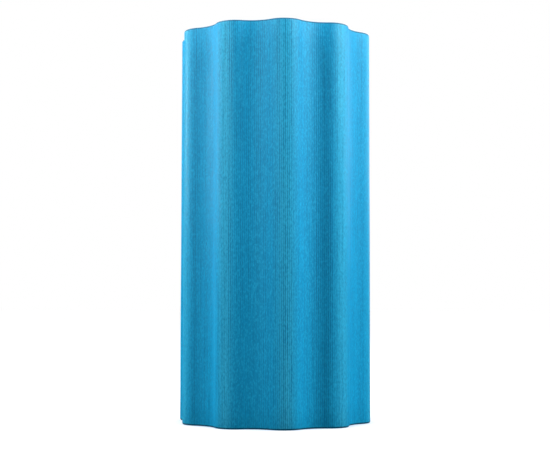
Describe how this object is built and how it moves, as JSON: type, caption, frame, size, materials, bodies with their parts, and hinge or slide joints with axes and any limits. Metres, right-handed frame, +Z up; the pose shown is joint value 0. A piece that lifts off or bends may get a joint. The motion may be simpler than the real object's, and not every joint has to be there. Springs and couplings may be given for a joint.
{
  "type": "foam roller",
  "caption": "Short wave-profile massage roller: a lobed foam sleeve bonded round a rigid hollow tube, with a plastic ring in each end.",
  "frame": {"origin": "centre of the lower end, level with the foam's end face that the roller stands on", "axes": "+Z up along the roller's axis; +X through the middle of a crest; +Y through the groove that holds the foam's seam"},
  "size_m": [0.1524, 0.1464, 0.3048],
  "materials": {
    "foam": "matte",
    "core": "matte",
    "adhesive": "satin",
    "end_ring": "satin"
  },
  "bodies": {
    "root": {"foam_sleeve": "foam", "core_tube": "core", "bonding_film": "adhesive", "end_ring_top": "end_ring", "end_ring_bottom": "end_ring"}
  },
  "joints": []
}
